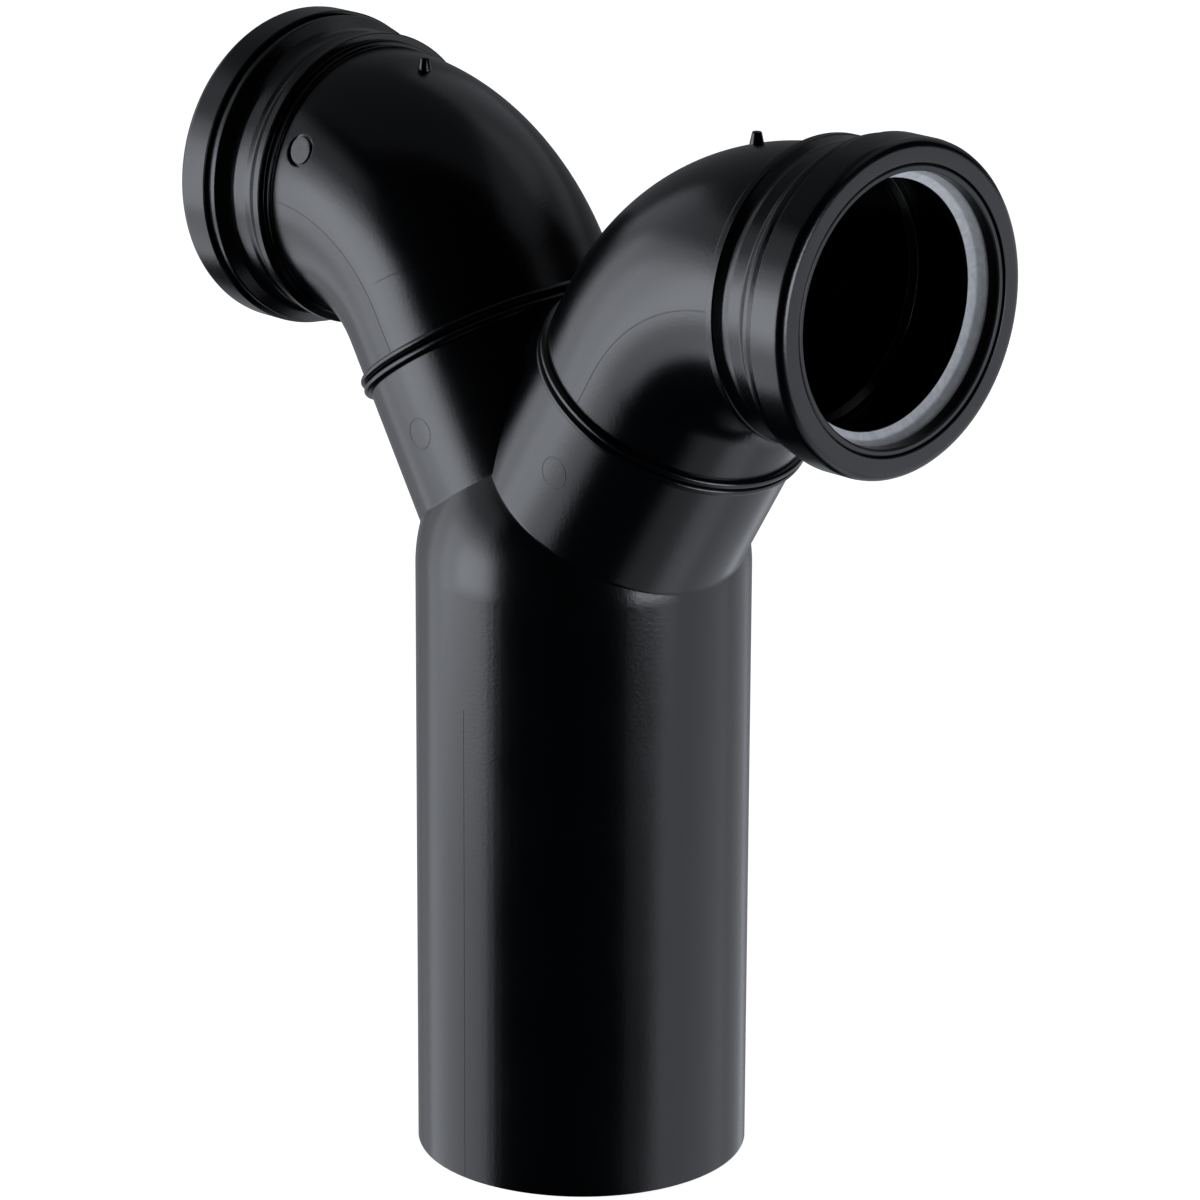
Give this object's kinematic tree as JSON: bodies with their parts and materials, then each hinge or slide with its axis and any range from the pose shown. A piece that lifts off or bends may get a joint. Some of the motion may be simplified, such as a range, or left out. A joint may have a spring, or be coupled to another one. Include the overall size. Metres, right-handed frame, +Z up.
{
  "type": "double connection bend",
  "caption": "Drain pipe fitting: an upright trunk pipe that forks into a pair of narrower bends, each ending in a horizontal push-fit socket with a snap ring and a lip seal.",
  "frame": {"origin": "centre of the trunk's plain lower end, which is also the middle of the bottom of the box", "axes": "+Z up along the trunk's axis; the two sockets face +X and -X, with their axes in the XZ plane"},
  "size_m": [0.281, 0.11, 0.3646],
  "materials": {
    "pipe_plastic": "satin black polyethylene",
    "cap_plastic": "satin black moulded plastic",
    "seal_rubber": "black rubber, greased lip"
  },
  "bodies": {
    "root": {"y_branch": "pipe_plastic", "right_elbow": "pipe_plastic", "left_elbow": "pipe_plastic", "right_cap_ring": "cap_plastic", "left_cap_ring": "cap_plastic", "right_lip_seal": "seal_rubber", "left_lip_seal": "seal_rubber"}
  },
  "joints": []
}
